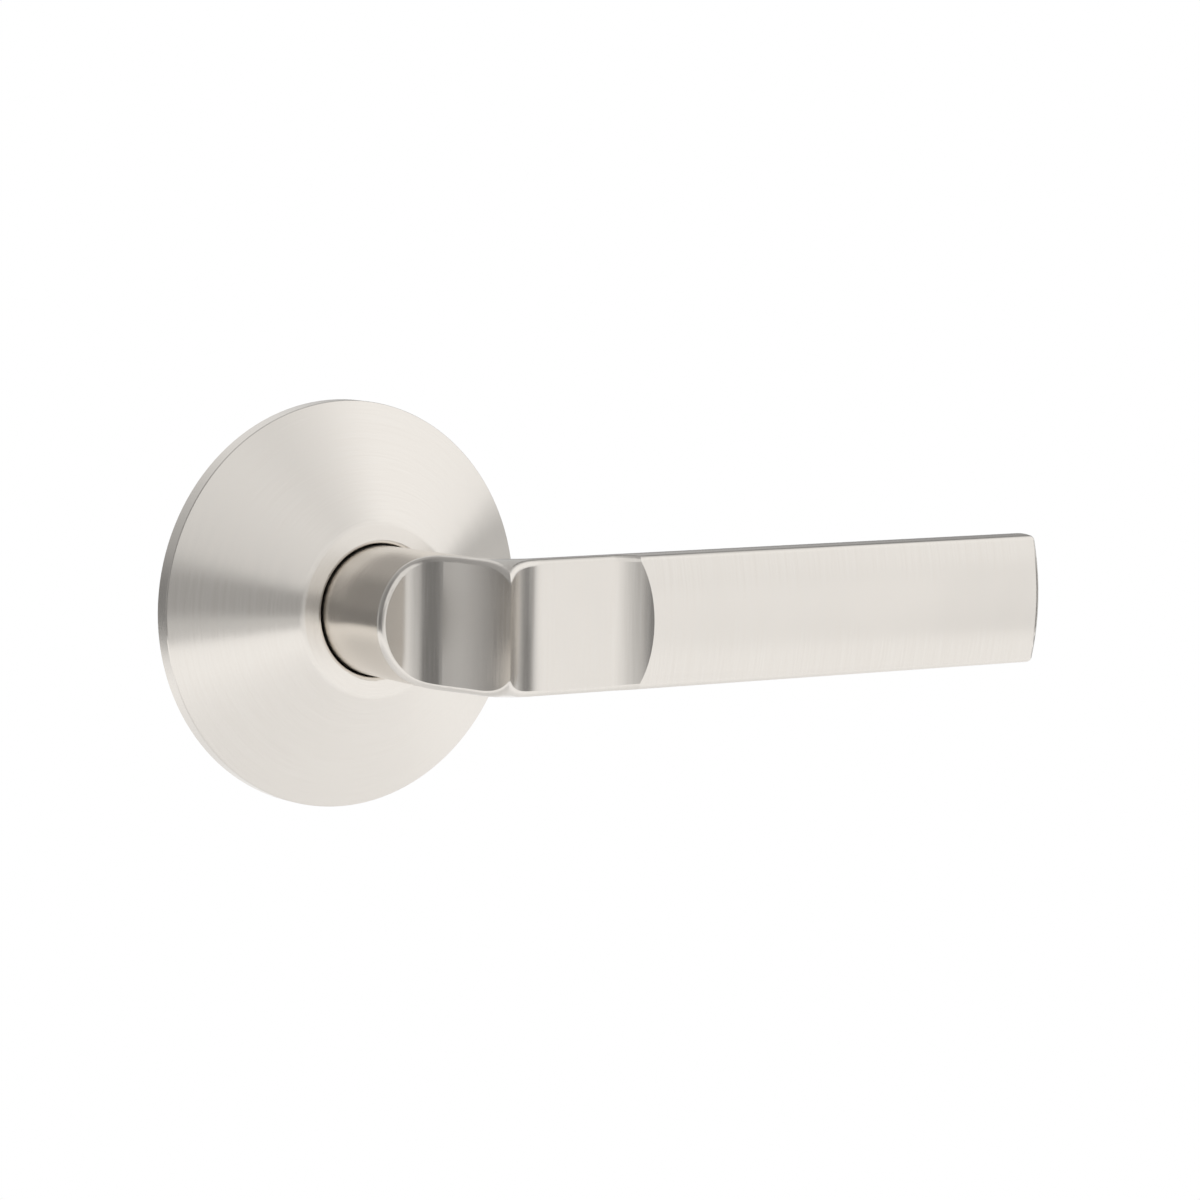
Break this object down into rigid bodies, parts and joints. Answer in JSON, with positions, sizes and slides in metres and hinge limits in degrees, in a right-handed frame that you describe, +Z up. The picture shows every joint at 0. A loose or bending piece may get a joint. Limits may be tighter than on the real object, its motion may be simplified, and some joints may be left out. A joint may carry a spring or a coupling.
{
  "type": "door lever handle",
  "caption": "Satin nickel door lever on a round conical rose, with a sprung fixing set, square spindle and fixing posts behind the door face.",
  "frame": {"origin": "on the door's face, on the axis that the lever turns about", "axes": "+Y into the door along the spindle, +X along the lever, +Z up"},
  "size_m": [0.1688, 0.1124, 0.0794],
  "materials": {
    "spun_nickel": "satin nickel plate, spun brushing round the axis",
    "satin_nickel": "satin nickel plate, fine upright brushing",
    "plated_steel": "bright zinc plate",
    "spring_steel": "oiled spring wire",
    "zinc_casting": "raw die casting",
    "bush_bronze": "sintered bronze",
    "acetal": "natural acetal",
    "spindle_steel": "drawn steel",
    "black_steel": "black oxide"
  },
  "bodies": {
    "fixed_set": {"rose": "spun_nickel", "mounting_plate": "plated_steel", "rose_snap_ring": "spring_steel", "fixing_posts": "plated_steel", "spring_housing": "zinc_casting", "housing_rivets": "plated_steel", "front_bush": "bush_bronze", "rear_bush": "bush_bronze", "return_spring": "spring_steel", "housing_cover": "plated_steel", "stop_pins": "spindle_steel", "cover_screws": "plated_steel"},
    "lever_set": {"lever": "satin_nickel", "thrust_washer": "acetal", "spring_cam": "plated_steel", "curved_washer": "spring_steel", "backing_washer": "plated_steel", "retaining_ring": "black_steel", "spindle": "spindle_steel", "set_screw": "black_steel"}
  },
  "joints": [
    {"name": "lever_turn", "type": "hinge", "parent": "fixed_set", "child": "lever_set", "pos_m": [0, 0, 0], "axis": [0, 1, 0], "range_deg": [-45, 45], "stiffness_Nm_per_rad": 4, "springref_deg": -3.4, "deforming": ["return_spring"]}
  ]
}
